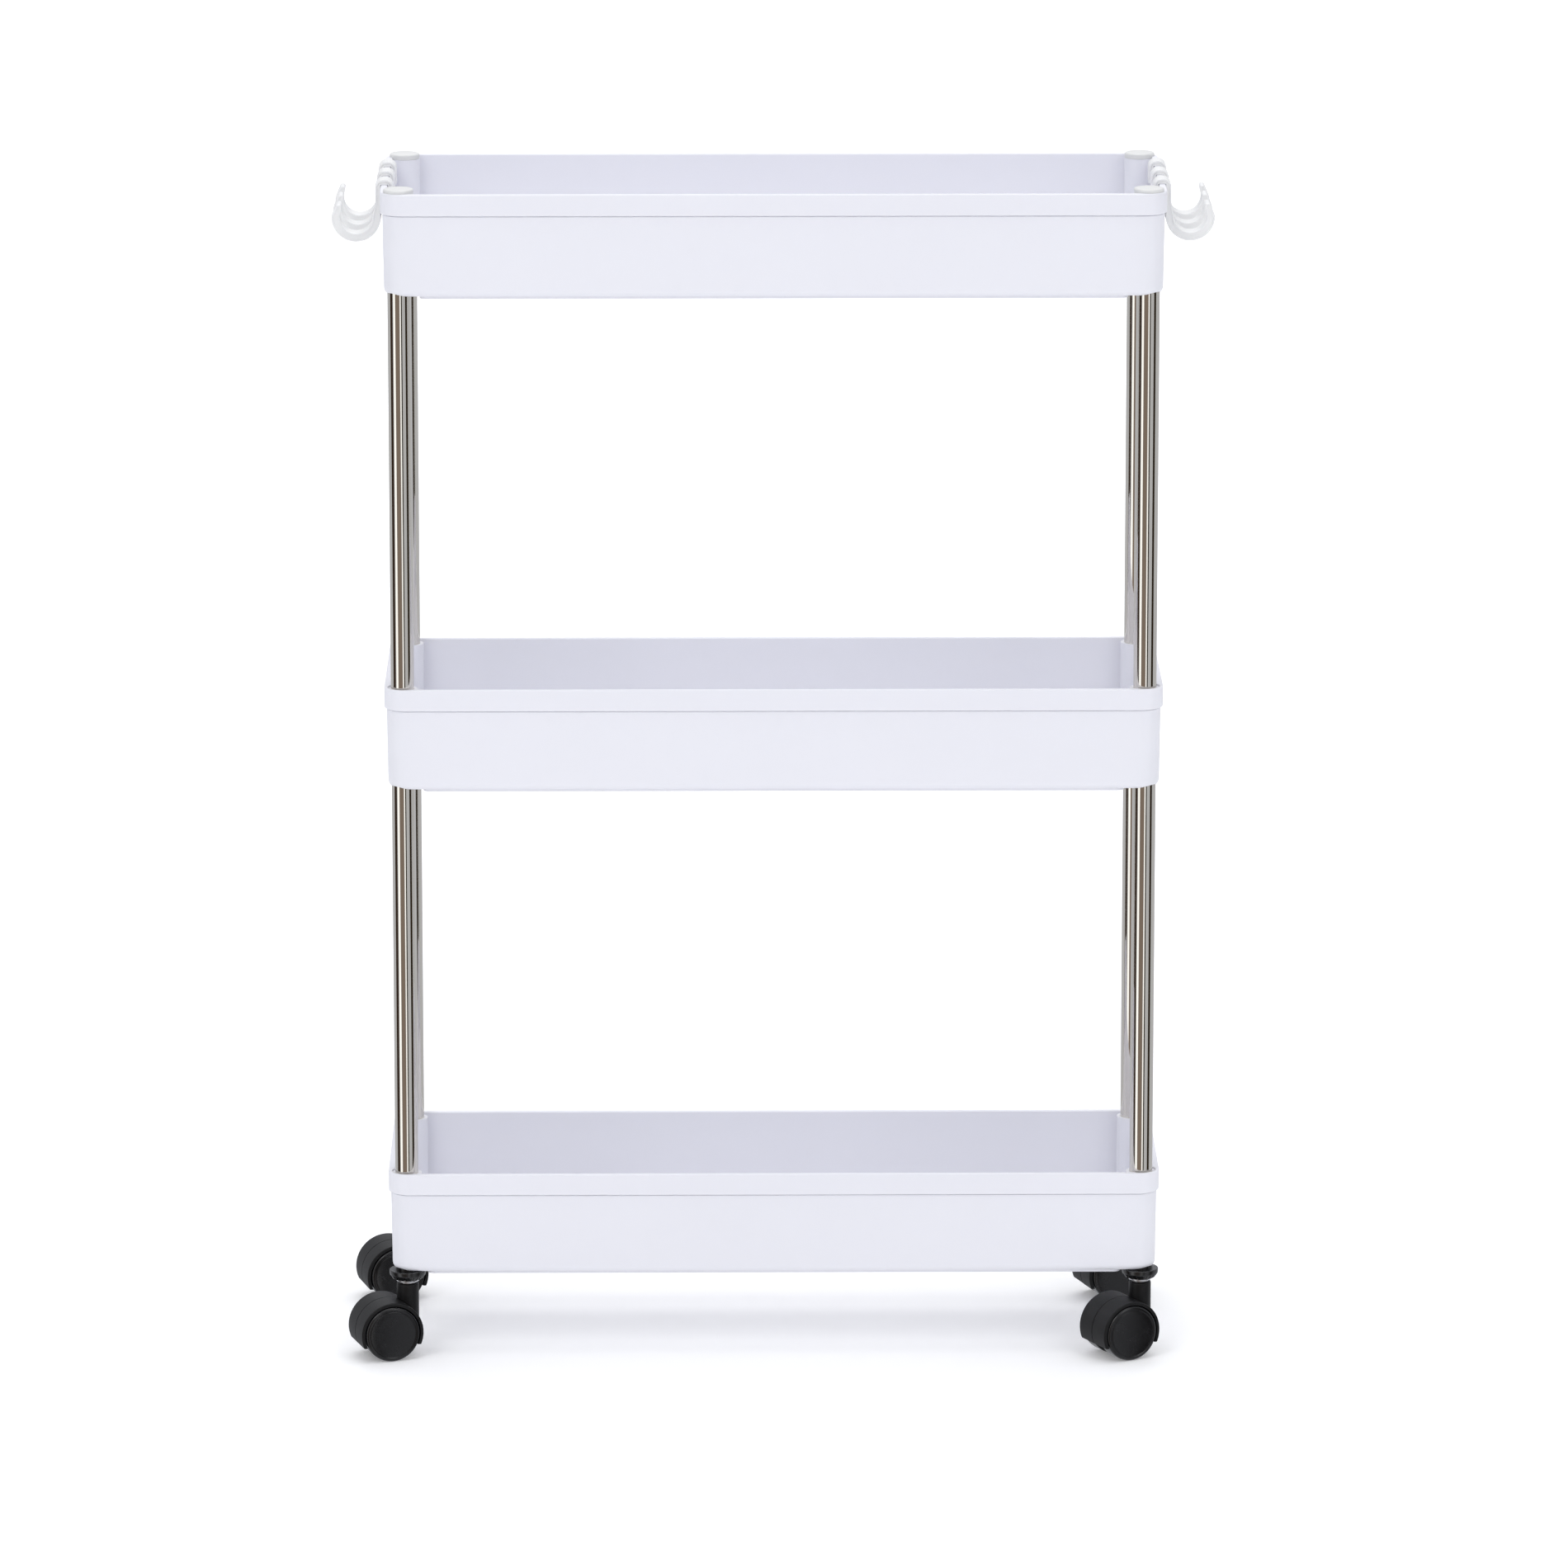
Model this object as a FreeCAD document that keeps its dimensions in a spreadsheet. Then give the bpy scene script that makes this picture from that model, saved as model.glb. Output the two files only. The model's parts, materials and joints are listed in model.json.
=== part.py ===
"""Slim three-tier pantry cart: moulded trays on steel tube posts, hanging hooks and twin-wheel casters.

Millimetres. The origin is on the floor under the middle of the trays, +Z is up, the long side runs
along X and the front is -Y. Every piece is a PartDesign body of its own, and its label is its name.
"""
import FreeCAD, Part
import math
import os
import re
import Sketcher

# Driving dimensions: name, value and what it measures. Millimetres, and degrees where it says so.
SIZES = [
    ("tray_length", 400, "outside of the rim band, along X"),
    ("tray_depth", 130, "outside of the rim band, along Y"),
    ("tray_height", 53, "floor underside to rim top"),
    ("tray_pitch", 257, "from one tray to the tray above"),
    ("tray_corner", 12, "plan radius of the rim band's corners"),
    ("tray_wall", 2.2, "side wall under the band"),
    ("tray_floor", 2.2, "floor thickness"),
    ("band_height", 11, "height of the rim band"),
    ("band_step", 1.2, "how far the band stands out from the wall"),
    ("draft_run", 0.5, "how far the wall leans in by its foot"),
    ("foot_radius", 4, "rounding between wall and underside"),
    ("rim_radius", 0.6, "rounding of the band's edges"),
    ("pillar_wall", 1.75, "plastic around a post, inside the tray and at its sides"),
    ("corner_wall", 0.7, "least plastic between a post and the tray's corner"),
    ("pillar_drop", 0.9, "pillar top below the rim top"),
    ("rib_drop", 2.6, "rib ring below the floor's underside"),
    ("rib_wall", 1.8, "thickness of the rib ring"),
    ("rib_inset", 5, "rib ring in from the band, front and back"),
    ("rib_gap", 0.6, "rib ring clear of the caster flanges"),
    ("post_diameter", 12, "steel tube, outside"),
    ("post_wall", 0.6, "steel tube, wall"),
    ("post_reach", 20, "depth of a post, or a caster socket, in the pillar above it"),
    ("pillar_web", 8.1, "solid plastic between the two bores of a pillar"),
    ("plug_gap", 0.05, "radial clearance of what plugs into a pillar"),
    ("cap_inset", 0.1, "corner cap's edge inside the pillar's"),
    ("cap_height", 3, "corner cap above the pillar"),
    ("cap_plug", 12, "length of the cap's plug"),
    ("cap_skin", 1.5, "wall of the cap's hollow plug"),
    ("hook_width", 12, "along the rim"),
    ("hook_pitch", 28, "from one hook to the next"),
    ("hook_gap", 0.2, "between the hook and each face of the rim"),
    ("hook_leaf", 2.6, "arch and inner leg thickness"),
    ("hook_strip", 2.8, "outer strip thickness"),
    ("hook_leg", 9, "inner leg below the rim top"),
    ("hook_neck", 9, "where the strip starts to thicken, below the rim top"),
    ("hook_bowl", 12.6, "outer radius of the bowl"),
    ("hook_thick", 4.2, "thickness of the bowl"),
    ("hook_drop", 16.7, "bowl centre below the rim top"),
    ("hook_rise", 6.6, "arm tip above the bowl centre"),
    ("hook_lean", 2.2, "how far the arm leans in by its tip"),
    ("hook_tip", 3, "arm thickness at its tip"),
    ("hook_web", 1.2, "depth of the recess in each face of a hook"),
    ("hook_border", 0.8, "raised border round that recess"),
    ("wheel_radius", 14.6, "caster wheel"),
    ("wheel_width", 10.2, "caster wheel, flat to flat"),
    ("wheel_dome", 0.7, "crown of the wheel's outer face"),
    ("wheel_edge", 1.2, "rounding of the wheel's outer edge"),
    ("wheel_rim", 2.4, "thickness of the wheel's tread ring"),
    ("wheel_face", 3, "thickness of the wheel's disc"),
    ("wheel_hub", 4.2, "radius of the wheel's hub"),
    ("wheel_gap", 0.4, "between wheel and web, and wheel and hood"),
    ("web_half", 3.2, "half the thickness of the hood's middle web"),
    ("hood_skin", 1.7, "thickness of the hood's shell"),
    ("hood_lip", 0.8, "how far the wheel's flat stands out of the hood"),
    ("hood_open", 6.5, "hood's lower edge below the axle"),
    ("seam_width", 0.6, "groove round the middle of the hood"),
    ("seam_depth", 0.35, "depth of that groove"),
    ("trail", 12, "axle behind the swivel axis"),
    ("neck_radius", 5.75, "neck of the hood"),
    ("neck_rise", 7, "neck above the hood"),
    ("neck_gap", 0.2, "between the neck and the stem's collar"),
    ("neck_round", 0.8, "rounding of the neck's top edge"),
    ("axle_radius", 2, "steel axle"),
    ("axle_bite", 7, "length of axle in each wheel"),
    ("running_gap", 0.06, "radial clearance of axle and stem"),
    ("stem_radius", 3.5, "steel stem"),
    ("stem_floor", 0.75, "plastic between the stem and the wheels' room"),
    ("stem_inset", 3, "stem's end below the socket's"),
    ("collar_radius", 6, "stem's plated collar"),
    ("collar_height", 1.2, "upper, wide step of the collar"),
    ("collar_step", 0.8, "lower, narrow step of the collar"),
    ("collar_inset", 1.3, "narrow step inside the wide one"),
    ("flange_radius", 9.75, "socket's flange under the tray"),
    ("flange_height", 5, "socket's flange"),
    ("flange_round", 1.6, "rounding of the flange's lower edge"),
    ("sleeve_gap", 2, "room above the socket's sleeve in the pillar"),
    ("grip_room", 0.45, "room for the grip ring between stem and socket"),
    ("grip_height", 7, "split grip ring"),
    ("grip_slit", 1.4, "slit in the grip ring"),
    ("grip_gap", 0.02, "radial clearance of the grip ring"),
    ("turn_front_left", 18, "caster's trail, degrees from -X towards the front"),
    ("turn_front_right", 28, "degrees"),
    ("turn_rear_left", 16, "degrees"),
    ("turn_rear_right", 20, "degrees"),
]

doc = FreeCAD.newDocument("pantry_cart")
sheet = doc.addObject("Spreadsheet::Sheet", "sizes")
for row, (alias, amount, meaning) in enumerate(SIZES, start=1):
    sheet.set(f"A{row}", alias)
    sheet.set(f"B{row}", str(amount))
    sheet.set(f"C{row}", meaning)
    sheet.setAlias(f"B{row}", alias)
doc.recompute()
ALIASES = {alias for alias, amount, meaning in SIZES}

# Sizes that follow from the driving ones, as formulas over the sheet.
RIM_WALL = "(tray_wall + band_step)"
BODY_LENGTH = "(tray_length - 2 * band_step)"
BODY_DEPTH = "(tray_depth - 2 * band_step)"
BORE_RADIUS = "(post_diameter / 2 + plug_gap)"
LEAN = "(band_step + draft_run)"
POST_INSET = (
    f"max({LEAN} + pillar_wall + {BORE_RADIUS};"
    f" tray_corner - (tray_corner - {LEAN} - corner_wall - {BORE_RADIUS}) / sqrt(2))"
)
POST_X = f"(tray_length / 2 - {POST_INSET})"
POST_Y = f"(tray_depth / 2 - {POST_INSET})"
PILLAR_RADIUS = f"({BORE_RADIUS} + pillar_wall)"
PILLAR_TOP = "(tray_height - pillar_drop)"
POST_SINK = f"({PILLAR_TOP} - post_reach - pillar_web)"
CAP_RADIUS = f"({PILLAR_RADIUS} - cap_inset)"
WHEEL_OUT = "(web_half + wheel_gap + wheel_width)"
ROOM_RADIUS = "(wheel_radius + wheel_gap)"
HOOD_RADIUS = f"({ROOM_RADIUS} + hood_skin)"
HOOD_HALF = f"({WHEEL_OUT} - hood_lip)"
NECK_TOP = f"(wheel_radius + {HOOD_RADIUS} + neck_rise)"
COLLAR_FOOT = f"({NECK_TOP} + neck_gap)"
COLLAR_TOP = f"({COLLAR_FOOT} + collar_step + collar_height)"
TRAY_LIFT = f"({COLLAR_TOP} + flange_height)"
RIM_TOP = f"({TRAY_LIFT} + 2 * tray_pitch + tray_height)"
SLEEVE_TOP = f"({TRAY_LIFT} + post_reach - sleeve_gap)"
STEM_TOP = f"({SLEEVE_TOP} - stem_inset)"
STEM_FOOT = f"(wheel_radius + sqrt({ROOM_RADIUS} ^ 2 - (trail - stem_radius / 2) ^ 2) + stem_floor)"
STEM_BEVEL = "(stem_radius / 5)"
AXLE_HALF = "(web_half + wheel_gap + axle_bite)"
SOCKET_BORE = "(stem_radius + grip_room)"

CORNERS = {"front_left": (-1, -1), "front_right": (1, -1), "rear_left": (-1, 1), "rear_right": (1, 1)}
LEVELS = {"bottom": 0, "middle": 1, "top": 2}


def formula(text):
    """The text with each size's name read from the sheet."""
    return re.sub(r"[a-z_]\w*", lambda word: "sizes." + word[0] if word[0] in ALIASES else word[0], text)


def value(text):
    """What a formula comes to now."""
    return float(sheet.evalExpression(formula(text)))


def new_body(name, placement):
    """An empty body with its label, placed by a formula."""
    body = doc.addObject("PartDesign::Body", name)
    body.Label = name
    body.setExpression("Placement", formula(placement))
    return body


def at(across="0", along="0", up="0", turn="0", axis="0; 0; 1"):
    """Placement formula: a point, and a turn in degrees about an axis."""
    return f"placement(vector({across}; {along}; {up}); rotation(vector({axis}); {turn}))"


def new_sketch(body, name, plane="XY_Plane", lift="0"):
    """A sketch on one of the body's own planes, moved along that plane's normal."""
    sketch = body.newObject("Sketcher::SketchObject", name)
    origin = next(item for item in body.Origin.OriginFeatures if item.Role == plane)
    sketch.AttachmentSupport = [(origin, "")]
    sketch.MapMode = "FlatFace"
    sketch.setExpression("AttachmentOffset.Base.z", formula(lift))
    return sketch


def bind(sketch, constraint, text):
    """Add a constraint whose size is a formula."""
    index = sketch.addConstraint(constraint)
    name = f"size_{index}"
    sketch.renameConstraint(index, name)
    sketch.setExpression(f"Constraints.{name}", formula(text))


def arc_between(start, end, radius, left):
    """The short arc from start to end that turns left or right."""
    chord = end - start
    middle = (start + end) / 2
    normal = FreeCAD.Vector(-chord.y, chord.x, 0).normalize()
    height = math.sqrt(max(radius ** 2 - (chord.Length / 2) ** 2, 0))
    centre = middle + normal * (height if left else -height)
    first, last = (start, end) if left else (end, start)
    begin = math.atan2(first.y - centre.y, first.x - centre.x)
    finish = math.atan2(last.y - centre.y, last.x - centre.x)
    circle = Part.Circle(centre, FreeCAD.Vector(0, 0, 1), radius)
    return Part.ArcOfCircle(circle, begin, finish)


def outline(sketch, corners):
    """A closed outline. A corner is (across, up), or (across, up, radius, side) where an arc follows."""
    points = [FreeCAD.Vector(value(corner[0]), value(corner[1]), 0) for corner in corners]
    ends = []
    for index, corner in enumerate(corners):
        start = points[index]
        end = points[(index + 1) % len(points)]
        if len(corner) == 2:
            edge = sketch.addGeometry(Part.LineSegment(start, end))
            ends.append((edge, 1, 2))
        else:
            left = corner[3] == "left"
            edge = sketch.addGeometry(arc_between(start, end, value(corner[2]), left))
            ends.append((edge, 1, 2) if left else (edge, 2, 1))
    for index, (edge, start, end) in enumerate(ends):
        following, begin, _ = ends[(index + 1) % len(ends)]
        sketch.addConstraint(Sketcher.Constraint("Coincident", edge, end, following, begin))
    for index, (edge, start, end) in enumerate(ends):
        corner = corners[index]
        bind(sketch, Sketcher.Constraint("DistanceX", -1, 1, edge, start, points[index].x), corner[0])
        bind(sketch, Sketcher.Constraint("DistanceY", -1, 1, edge, start, points[index].y), corner[1])
        if len(corner) == 4:
            bind(sketch, Sketcher.Constraint("Radius", edge, value(corner[2])), corner[2])


def circle(sketch, across, up, radius):
    """A circle by its centre and radius."""
    centre = FreeCAD.Vector(value(across), value(up), 0)
    edge = sketch.addGeometry(Part.Circle(centre, FreeCAD.Vector(0, 0, 1), value(radius)))
    bind(sketch, Sketcher.Constraint("DistanceX", -1, 1, edge, 3, centre.x), across)
    bind(sketch, Sketcher.Constraint("DistanceY", -1, 1, edge, 3, centre.y), up)
    bind(sketch, Sketcher.Constraint("Radius", edge, value(radius)), radius)


def rounded_box(sketch, length, depth, radius):
    """A rectangle about the origin with round corners."""
    corners = []
    for right, back in ((1, -1), (1, 1), (-1, 1), (-1, -1)):
        side = (f"{right} * {length} / 2", f"{back} * ({depth} / 2 - {radius})")
        end = (f"{right} * ({length} / 2 - {radius})", f"{back} * {depth} / 2")
        first, second = (side, end) if right == back else (end, side)
        corners.append((*first, radius, "left"))
        corners.append(second)
    outline(sketch, corners)


def add(body, kind, name, sketch, length=None, **settings):
    """A feature made from a sketch, with its length bound to a formula."""
    feature = body.newObject("PartDesign::" + kind, name)
    feature.Profile = sketch
    if length is not None:
        feature.setExpression("Length", formula(length))
    for key, setting in settings.items():
        setattr(feature, key, setting)
    doc.recompute()
    return feature


def cut(body, name, sketch, length, **settings):
    """A pocket, which has to take something away."""
    before = body.Shape.Volume
    feature = add(body, "Pocket", name, sketch, length, **settings)
    if not body.Shape.Volume < before:
        raise ValueError(f"{body.Label}: {name} cuts nothing")
    return feature


def spin(body, kind, name, sketch):
    """A full turn of a sketch about its own upright axis."""
    feature = add(body, kind, name, sketch)
    feature.ReferenceAxis = (sketch, ["V_Axis"])
    feature.Angle = 360
    doc.recompute()
    return feature


def round_edges(body, name, radius, wanted):
    """Fillet the edges that the test picks out."""
    base = body.Tip
    picked = [f"Edge{index}" for index, edge in enumerate(base.Shape.Edges, start=1) if wanted(edge)]
    fillet = body.newObject("PartDesign::Fillet", name)
    fillet.Base = (base, picked)
    fillet.setExpression("Radius", formula(radius))
    doc.recompute()
    return fillet


def lies_at(edge, up):
    """True for an edge that lies flat at a height."""
    box = edge.BoundBox
    return abs(box.ZMin - up) < 0.01 and abs(box.ZMax - up) < 0.01


def make_tray(level):
    """A tub with a rim band, a pillar in each corner, and a rib ring under its floor."""
    body = new_body(f"tray_{level}", at(up=f"{TRAY_LIFT} + {LEVELS[level]} * tray_pitch"))
    band_foot = "(tray_height - band_height)"

    foot = new_sketch(body, f"{level}_foot_outline")
    foot_corner = f"(tray_corner - {LEAN})"
    rounded_box(foot, f"({BODY_LENGTH} - 2 * draft_run)", f"({BODY_DEPTH} - 2 * draft_run)", foot_corner)
    shoulder = new_sketch(body, f"{level}_shoulder_outline", lift=band_foot)
    rounded_box(shoulder, BODY_LENGTH, BODY_DEPTH, "(tray_corner - band_step)")
    add(body, "AdditiveLoft", f"{level}_body", foot, Sections=[shoulder], Ruled=True)
    round_edges(body, f"{level}_foot_round", "foot_radius", lambda edge: lies_at(edge, 0))

    band = new_sketch(body, f"{level}_band_outline", lift=band_foot)
    rounded_box(band, "tray_length", "tray_depth", "tray_corner")
    add(body, "Pad", f"{level}_band", band, "band_height")

    well = new_sketch(body, f"{level}_well_outline", lift="tray_height")
    well_outline(well)
    cut(body, f"{level}_well", well, "tray_height - tray_floor")
    step = new_sketch(body, f"{level}_step_outline", lift="tray_height")
    inner_corner = f"(tray_corner - {RIM_WALL})"
    rounded_box(step, f"(tray_length - 2 * {RIM_WALL})", f"(tray_depth - 2 * {RIM_WALL})", inner_corner)
    cut(body, f"{level}_pillar_tops", step, "pillar_drop")
    seats = new_sketch(body, f"{level}_seat_outlines", lift="tray_height")
    for right, back in CORNERS.values():
        circle(seats, f"{right} * {POST_X}", f"{back} * {POST_Y}", f"({CAP_RADIUS} + plug_gap)")
    cut(body, f"{level}_cap_seats", seats, "pillar_drop")

    rib = new_sketch(body, f"{level}_rib_outline", lift="-rib_drop")
    rib_half = f"({POST_X} - flange_radius - rib_gap)"
    rib_length = f"(2 * {rib_half})"
    rib_depth = "(tray_depth - 2 * rib_inset)"
    rounded_box(rib, rib_length, rib_depth, "(2 * rib_wall)")
    rounded_box(rib, f"({rib_length} - 2 * rib_wall)", f"({rib_depth} - 2 * rib_wall)", "rib_wall")
    add(body, "Pad", f"{level}_rib", rib, "rib_drop + tray_floor / 2")

    sockets = (("post", PILLAR_TOP, POST_SINK, False), ("lower", "0", "post_reach", True))
    for side, lift, depth, flip in sockets:
        bores = new_sketch(body, f"{level}_{side}_bores", lift=lift)
        for right, back in CORNERS.values():
            circle(bores, f"{right} * {POST_X}", f"{back} * {POST_Y}", BORE_RADIUS)
        cut(body, f"{level}_{side}_bore", bores, depth, Reversed=flip)

    rim_heights = (value("tray_height"), value(band_foot))
    round_edges(
        body, f"{level}_rim_round", "min(rim_radius; corner_wall * 0.8)",
        lambda edge: any(lies_at(edge, height) for height in rim_heights) and on_band(edge),
    )
    return body


def on_band(edge):
    """True for an edge on the outside of the rim band."""
    corner = value("tray_corner")
    middle = edge.valueAt((edge.FirstParameter + edge.LastParameter) / 2)
    across = max(abs(middle.x) - (value("tray_length") / 2 - corner), 0)
    along = max(abs(middle.y) - (value("tray_depth") / 2 - corner), 0)
    return abs(math.hypot(across, along) - corner) < 0.01


def well_outline(sketch):
    """The tray's inside in plan: straight walls that end on the corner pillars' arcs."""
    wall_x = f"(tray_length / 2 - {RIM_WALL})"
    wall_y = f"(tray_depth / 2 - {RIM_WALL})"
    reach = f"({POST_INSET} - {RIM_WALL})"
    half = f"sqrt({PILLAR_RADIUS} ^ 2 - {reach} ^ 2)"
    corners = []
    for right, back in ((1, -1), (1, 1), (-1, 1), (-1, -1)):
        side = (f"{right} * {wall_x}", f"{back} * ({POST_Y} - {half})")
        end = (f"{right} * ({POST_X} - {half})", f"{back} * {wall_y}")
        first, second = (side, end) if right == back else (end, side)
        corners.append((*first, PILLAR_RADIUS, "right"))
        corners.append(second)
    outline(sketch, corners)


def make_post(name, corner, level):
    """A thin steel tube from one tray's pillar up into the next tray's."""
    right, back = CORNERS[corner]
    foot = f"({TRAY_LIFT} + {level} * tray_pitch + {PILLAR_TOP} - {POST_SINK})"
    body = new_body(name, at(f"{right} * {POST_X}", f"{back} * {POST_Y}", foot))
    sketch = new_sketch(body, f"{name}_section")
    circle(sketch, "0", "0", "post_diameter / 2")
    circle(sketch, "0", "0", "(post_diameter / 2 - post_wall)")
    add(body, "Pad", f"{name}_tube", sketch, f"tray_pitch + post_reach + {POST_SINK} - {PILLAR_TOP}")
    return body


def make_cap(corner):
    """A round cap whose hollow plug fills the top tray's pillar."""
    right, back = CORNERS[corner]
    name = f"cap_{corner}"
    foot = f"({TRAY_LIFT} + 2 * tray_pitch + {PILLAR_TOP})"
    body = new_body(name, at(f"{right} * {POST_X}", f"{back} * {POST_Y}", foot))
    sketch = new_sketch(body, f"{name}_section", "XZ_Plane")
    round_over = "(cap_height / 3)"
    plug = "(post_diameter / 2)"
    outline(sketch, [
        ("0", "0"),
        (f"{plug} - cap_skin", "0"),
        (f"{plug} - cap_skin", "-cap_plug"),
        (plug, "-cap_plug"),
        (plug, "0"),
        (CAP_RADIUS, "0"),
        (CAP_RADIUS, f"cap_height - {round_over}", round_over, "left"),
        (f"{CAP_RADIUS} - {round_over}", "cap_height"),
        ("0", "cap_height"),
    ])
    spin(body, "Revolution", f"{name}_turned", sketch)
    return body


def make_hook(name, right, place):
    """A hook that hangs over the end rim: arch, outer strip, bowl and arm, with recessed faces."""
    turn = "0" if right > 0 else "180"
    body = new_body(name, at(f"{right} * tray_length / 2", f"{place} * hook_pitch", RIM_TOP, turn))
    sketch = new_sketch(body, f"{name}_profile", "XZ_Plane")
    hook_outline(sketch, "0")
    add(body, "Pad", f"{name}_blank", sketch, "hook_width", SideType="Symmetric")
    for face, lift in (("front", "hook_width / 2"), ("back", "-hook_width / 2")):
        recess = new_sketch(body, f"{name}_{face}_profile", "XZ_Plane", lift)
        hook_outline(recess, "hook_border")
        cut(body, f"{name}_{face}_recess", recess, "hook_web", Reversed=face == "back")
    return body


def hook_outline(sketch, border):
    """The hook from its side, or the same outline drawn in by a border. The rim's face is at 0."""
    slot = f"(-{RIM_WALL} - hook_gap - {border})"
    back = f"(-{RIM_WALL} - hook_gap - hook_leaf + {border})"
    inner = f"(hook_gap + {border})"
    strip = f"(hook_gap + hook_strip - {border})"
    crown = f"(hook_leaf - {border})"
    crown_round = f"(hook_leaf + hook_gap - {border})"
    outer_radius = f"(hook_bowl - {border})"
    inner_radius = f"(hook_bowl - hook_thick + {border})"
    centre = "(hook_gap + hook_bowl)"
    tip_up = f"(hook_rise - hook_drop - {border})"
    tip_out = f"({centre} + hook_bowl - hook_lean - {border})"
    tip_in = f"({centre} + hook_bowl - hook_lean - hook_tip + {border})"
    tip_round = f"(hook_tip / 2 - {border})"
    outline(sketch, [
        (back, f"-hook_leg + {border}"),
        (slot, f"-hook_leg + {border}"),
        (slot, border),
        (inner, border),
        (inner, "-hook_drop", outer_radius, "left"),
        (centre, f"-hook_drop - {outer_radius}", outer_radius, "left"),
        (f"{centre} + {outer_radius}", "-hook_drop"),
        (tip_out, f"{tip_up} - {tip_round}", tip_round, "left"),
        (f"{tip_out} - {tip_round}", tip_up, tip_round, "left"),
        (tip_in, f"{tip_up} - {tip_round}"),
        (f"{centre} + {inner_radius}", "-hook_drop", inner_radius, "right"),
        (centre, f"-hook_drop - {inner_radius}", inner_radius, "right"),
        (f"{centre} - {inner_radius}", "-hook_drop"),
        (strip, "-hook_neck"),
        (strip, f"{crown} - {crown_round}", crown_round, "left"),
        (f"{strip} - {crown_round}", crown),
        (f"{back} + {crown_round}", crown, crown_round, "left"),
        (back, f"{crown} - {crown_round}"),
    ])


def swivel_place(corner, local=None):
    """Placement formula on a caster's swivel axis at the floor, turned with its trail."""
    right, back = CORNERS[corner]
    base = at(f"{right} * {POST_X}", f"{back} * {POST_Y}", "0", f"turn_{corner}")
    return base if local is None else f"{base} * {local}"


def make_socket(corner):
    """A bush in the tray's pillar, with a flange under the tray's corner."""
    name = f"socket_{corner}"
    body = new_body(name, swivel_place(corner))
    sketch = new_sketch(body, f"{name}_section", "XZ_Plane")
    mouth = "(stem_radius + running_gap)"
    outline(sketch, [
        (mouth, COLLAR_TOP),
        ("flange_radius - flange_round", COLLAR_TOP, "flange_round", "left"),
        ("flange_radius", f"{COLLAR_TOP} + flange_round"),
        ("flange_radius", TRAY_LIFT),
        ("post_diameter / 2", TRAY_LIFT),
        ("post_diameter / 2", SLEEVE_TOP),
        (SOCKET_BORE, SLEEVE_TOP),
        (SOCKET_BORE, TRAY_LIFT),
        (mouth, TRAY_LIFT),
    ])
    spin(body, "Revolution", f"{name}_turned", sketch)
    return body


def make_stem(corner):
    """The steel pin that a caster swivels on, with its plated collar."""
    name = f"stem_{corner}"
    body = new_body(name, swivel_place(corner))
    sketch = new_sketch(body, f"{name}_section", "XZ_Plane")
    outline(sketch, [
        ("0", STEM_FOOT),
        ("stem_radius", STEM_FOOT),
        ("stem_radius", COLLAR_FOOT),
        ("collar_radius - collar_inset", COLLAR_FOOT),
        ("collar_radius - collar_inset", f"{COLLAR_FOOT} + collar_step"),
        ("collar_radius", f"{COLLAR_FOOT} + collar_step"),
        ("collar_radius", COLLAR_TOP),
        ("stem_radius", COLLAR_TOP),
        ("stem_radius", f"{STEM_TOP} - {STEM_BEVEL}"),
        (f"stem_radius - {STEM_BEVEL}", STEM_TOP),
        ("0", STEM_TOP),
    ])
    spin(body, "Revolution", f"{name}_turned", sketch)
    return body


def make_grip_ring(corner):
    """The split spring ring that holds the stem in its socket."""
    name = f"grip_ring_{corner}"
    body = new_body(name, swivel_place(corner))
    foot = f"({STEM_TOP} - {STEM_BEVEL} - grip_height)"
    sketch = new_sketch(body, f"{name}_section", lift=foot)
    circle(sketch, "0", "0", f"({SOCKET_BORE} - grip_gap)")
    circle(sketch, "0", "0", "(stem_radius + grip_gap)")
    add(body, "Pad", f"{name}_ring", sketch, "grip_height")
    slit = new_sketch(body, f"{name}_slit_outline", lift=foot)
    outline(slit, [
        ("0", "-grip_slit / 2"),
        (f"2 * {SOCKET_BORE}", "-grip_slit / 2"),
        (f"2 * {SOCKET_BORE}", "grip_slit / 2"),
        ("0", "grip_slit / 2"),
    ])
    cut(body, f"{name}_slit", slit, "grip_height", Reversed=True)
    return body


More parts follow.
